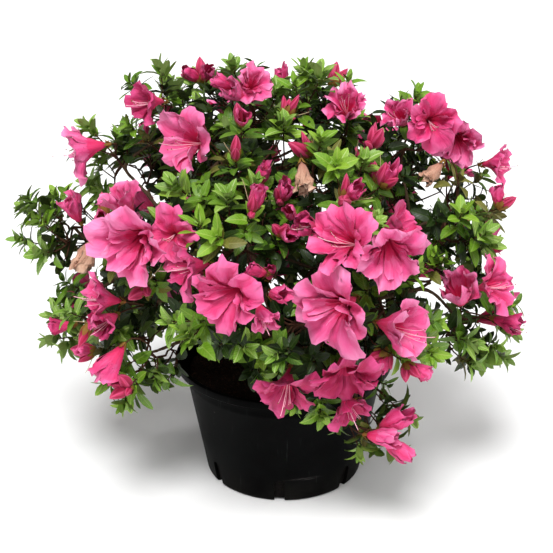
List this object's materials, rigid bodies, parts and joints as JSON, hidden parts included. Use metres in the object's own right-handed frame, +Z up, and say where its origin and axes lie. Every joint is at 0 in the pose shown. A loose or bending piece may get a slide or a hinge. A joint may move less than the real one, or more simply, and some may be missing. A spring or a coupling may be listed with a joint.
{
  "type": "potted azalea shrub",
  "caption": "Azalea shrub in bloom in a squat round nursery pot: root ball, short trunk, boughs and a domed crown of leaves, buds and ruffled blooms.",
  "frame": {"origin": "centre of the pot's flat underside", "axes": "+Z up; -Y is the front, the side that shows the most blooms; +X is to the right seen from the front"},
  "size_m": [0.5332, 0.4577, 0.4447],
  "materials": {
    "pot_plastic": "satin black moulded plastic",
    "peat": "damp crumbly peat mix",
    "bark": "rough grey-brown bark",
    "leaf": "small semi-gloss evergreen leaves",
    "petal": "soft thin rose-pink petals"
  },
  "bodies": {
    "root": {"bough_back_left": "bark", "bough_back_left_side_1": "bark", "bough_back_right": "bark", "bough_back_right_side_1": "bark", "bough_front": "bark", "bough_front_left": "bark", "bough_front_left_side_1": "bark", "bough_front_left_side_2": "bark", "bough_front_right": "bark", "bough_front_right_side_1": "bark", "bough_front_right_side_2": "bark", "bough_front_side_1": "bark", "bough_front_side_2": "bark", "bough_left": "bark", "bough_left_side_1": "bark", "bough_left_side_2": "bark", "bough_right": "bark", "bough_right_side_1": "bark", "crest_front": "leaf", "crest_left": "leaf", "crest_right": "leaf", "hanging_spray": "leaf", "pot": "pot_plastic", "root_ball": "peat", "shoulder_back_1": "leaf", "shoulder_back_2": "leaf", "shoulder_back_3": "leaf", "shoulder_back_4": "leaf", "shoulder_front": "leaf", "shoulder_front_left": "leaf", "shoulder_front_right": "leaf", "shoulder_left": "leaf", "shoulder_right": "leaf", "skirt_back_1": "leaf", "skirt_back_2": "leaf", "skirt_back_3": "leaf", "skirt_back_4": "leaf", "skirt_front": "leaf", "skirt_front_left": "leaf", "skirt_front_right": "leaf", "skirt_left": "leaf", "skirt_right": "leaf", "trunk": "bark", "upper_back_1": "leaf", "upper_back_2": "leaf", "upper_front_left": "leaf", "upper_front_right": "leaf", "upper_left": "leaf", "upper_right": "leaf", "waist_back_1": "leaf", "waist_back_2": "leaf", "waist_back_3": "leaf", "waist_back_4": "leaf", "waist_front": "leaf", "waist_front_left": "leaf", "waist_front_right": "leaf", "waist_left": "leaf", "waist_right": "leaf", "waist_right_front": "leaf"}
  },
  "joints": []
}
